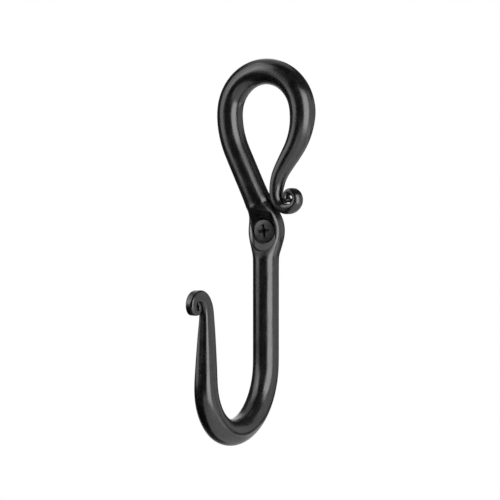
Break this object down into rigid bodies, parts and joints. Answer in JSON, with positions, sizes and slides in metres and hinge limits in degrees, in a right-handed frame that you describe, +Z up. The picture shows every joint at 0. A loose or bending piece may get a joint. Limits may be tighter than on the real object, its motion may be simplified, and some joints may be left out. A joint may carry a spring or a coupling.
{
  "type": "wall hook",
  "caption": "Forged round-bar wall hook with a teardrop loop ending in a small scroll, a dished screw eye, and a long J hook with a scrolled tip, with its wall screw.",
  "frame": {"origin": "where the screw's axis meets the wall, on the flat pad behind the screw eye", "axes": "+Z up along the shaft, +Y into the wall along the screw, +X to the right seen from the room, the side of the loop's scroll"},
  "size_m": [0.0402, 0.0832, 0.1386],
  "materials": {
    "black_iron": "satin",
    "blacked_steel": "satin"
  },
  "bodies": {
    "root": {"hook": "black_iron", "screw": "blacked_steel"}
  },
  "joints": []
}
